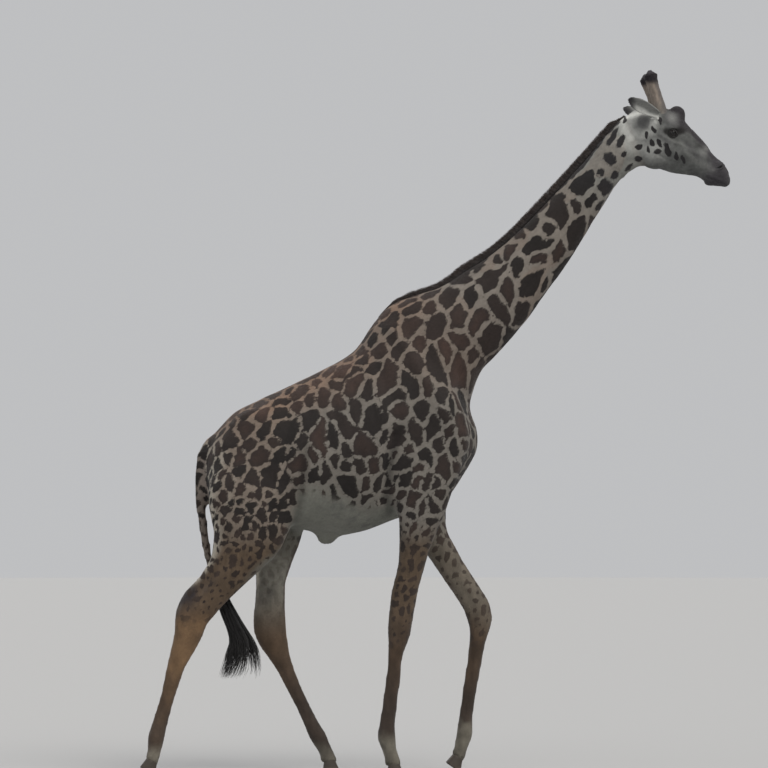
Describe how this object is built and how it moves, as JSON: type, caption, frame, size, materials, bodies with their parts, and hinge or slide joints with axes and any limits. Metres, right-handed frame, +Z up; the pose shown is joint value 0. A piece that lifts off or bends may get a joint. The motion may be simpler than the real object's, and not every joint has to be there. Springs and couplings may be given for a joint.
{
  "type": "giraffe",
  "caption": "Life-size still model of a Masai giraffe bull in mid stride, neck raised forward, with patched coat, standing mane and tasselled tail.",
  "frame": {"origin": "on the floor, below the middle of the whole giraffe's length and width", "axes": "+X ahead, the way the giraffe walks; +Y to its left; +Z up"},
  "size_m": [3.8918, 0.788, 4.6378],
  "materials": {
    "hide": "short flat hair in dark brown jagged patches on pale tan, cream on the neck and off-white on the belly",
    "hair": "coarse black-brown hair of the mane and the tail's tassel",
    "horn": "short grey-tan hair over the bony horn, with a worn black top",
    "hoof": "dark, dull horn, scuffed and dusty at the edge",
    "eye": "wet, nearly black eye with a dark brown iris"
  },
  "bodies": {
    "root": {"head": "hide", "ear_right": "hide", "ear_left": "hide", "neck_upper": "hide", "neck_lower": "hide", "trunk": "hide", "tail": "hide", "fore_right_upper": "hide", "fore_right_cannon": "hide", "fore_right_pastern": "hide", "fore_left_upper": "hide", "fore_left_cannon": "hide", "fore_left_pastern": "hide", "hind_right_upper": "hide", "hind_right_cannon": "hide", "hind_right_pastern": "hide", "hind_left_upper": "hide", "hind_left_cannon": "hide", "hind_left_pastern": "hide", "eye_right": "eye", "eye_left": "eye", "ossicone_right": "horn", "ossicone_left": "horn", "mane": "hair", "tail_tassel": "hair", "hoof_fore_right_outer": "hoof", "hoof_fore_right_inner": "hoof", "hoof_fore_left_outer": "hoof", "hoof_fore_left_inner": "hoof", "hoof_hind_right_outer": "hoof", "hoof_hind_right_inner": "hoof", "hoof_hind_left_outer": "hoof", "hoof_hind_left_inner": "hoof"}
  },
  "joints": []
}
